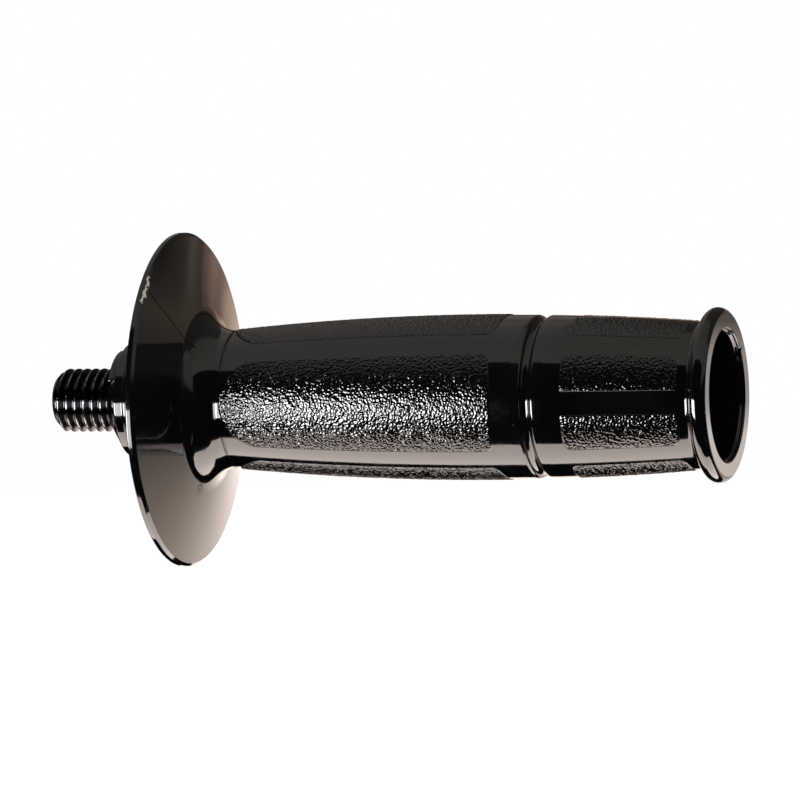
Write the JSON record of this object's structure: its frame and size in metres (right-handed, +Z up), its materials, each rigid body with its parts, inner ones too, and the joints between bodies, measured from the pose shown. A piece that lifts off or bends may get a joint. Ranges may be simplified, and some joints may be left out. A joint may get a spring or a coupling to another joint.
{
  "type": "power tool side handle",
  "caption": "Screw-in side handle for a power tool: hollow moulded grip with a dished finger guard, grained pads, a ring groove, a beaded open end and a threaded steel stud.",
  "frame": {"origin": "centre of the nose face, where the stud leaves the plastic", "axes": "+X along the handle towards the open end of the grip, -X along the stud, +Z up in the picture's pose"},
  "size_m": [0.1531, 0.0734, 0.0734],
  "materials": {
    "grip_plastic": "glossy black moulded plastic with grained pads",
    "stud_steel": "blackened steel thread with bright crests"
  },
  "bodies": {
    "root": {"grip_body": "grip_plastic", "threaded_stud": "stud_steel"}
  },
  "joints": []
}
